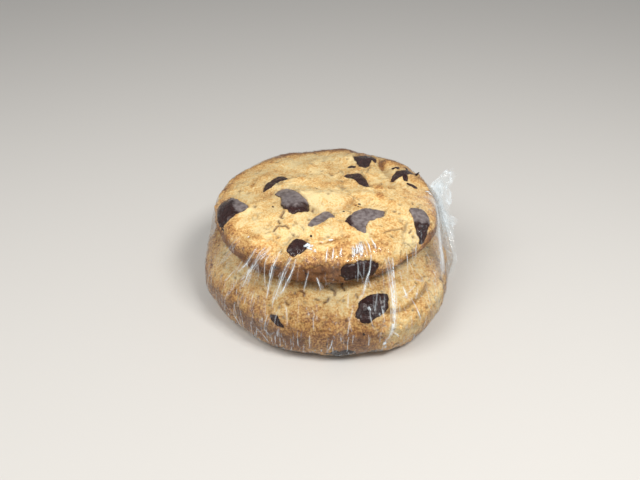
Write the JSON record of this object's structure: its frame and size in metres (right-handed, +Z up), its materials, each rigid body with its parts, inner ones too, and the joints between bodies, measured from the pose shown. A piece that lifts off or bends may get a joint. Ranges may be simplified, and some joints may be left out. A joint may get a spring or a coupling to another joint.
{
  "type": "wrapped chocolate chip cookies",
  "caption": "Stack of thick, domed chocolate chip cookies wrapped tight in clear film, with a gathered fin of film up one side. Rests flat on its base.",
  "frame": {"origin": "centre of the lower cookie's flat base, on the surface the pack stands on", "axes": "+Z up through the stack, +X towards the side with the gathered film, +Y to the back"},
  "size_m": [0.0928, 0.0884, 0.042],
  "materials": {
    "dough": "baked cookie crust, matte and finely cracked, paler on top and browner at the rims",
    "chocolate": "dark chocolate, half glossy, greyer where film presses on it",
    "film": "clear cling film, glossy, with tight wrinkles"
  },
  "bodies": {
    "root": {"cookie_lower": "dough", "cookie_upper": "dough", "chip_top_1": "chocolate", "chip_top_2": "chocolate", "chip_top_3": "chocolate", "chip_top_4": "chocolate", "chip_top_5": "chocolate", "chip_top_6": "chocolate", "chip_top_7": "chocolate", "chip_top_8": "chocolate", "chip_top_9": "chocolate", "chip_top_10": "chocolate", "chip_side_1": "chocolate", "chip_side_2": "chocolate", "chip_side_3": "chocolate", "chip_side_4": "chocolate", "chip_side_5": "chocolate", "chip_side_6": "chocolate", "chip_side_7": "chocolate", "chip_side_8": "chocolate", "chip_side_9": "chocolate", "chip_side_10": "chocolate", "film_wrap": "film"}
  },
  "joints": []
}
